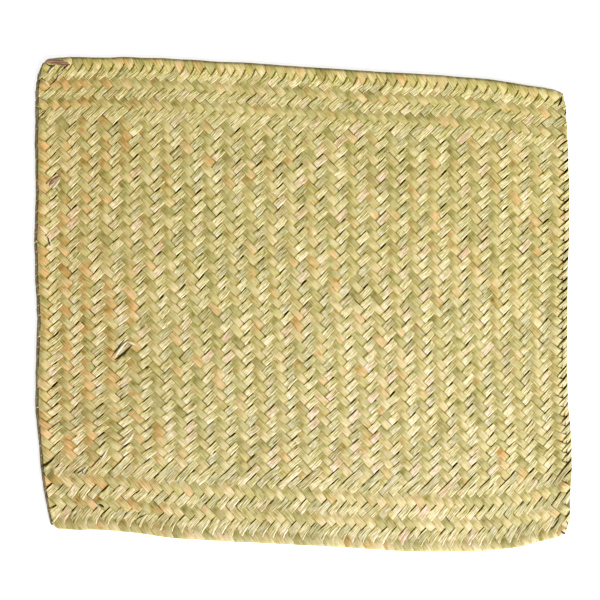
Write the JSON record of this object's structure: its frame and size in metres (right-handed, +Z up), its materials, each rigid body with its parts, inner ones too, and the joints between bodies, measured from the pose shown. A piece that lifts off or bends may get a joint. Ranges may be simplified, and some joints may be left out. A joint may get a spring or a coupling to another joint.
{
  "type": "woven seagrass pet mat",
  "caption": "Flat, slightly crooked four-sided mat of flat seagrass strips in a diagonal twill weave, with every strip folded back at the rim.",
  "frame": {"origin": "middle of the mat's footprint, on the surface that it lies on", "axes": "+Z up out of the mat's face, +X along the long side, +Y along the short side towards the edge that slopes"},
  "size_m": [0.445, 0.4102, 0.0038],
  "materials": {
    "seagrass": "dry matt leaf strips with a faint silky sheen along the grain"
  },
  "bodies": {
    "root": {"mat": "seagrass"}
  },
  "joints": []
}
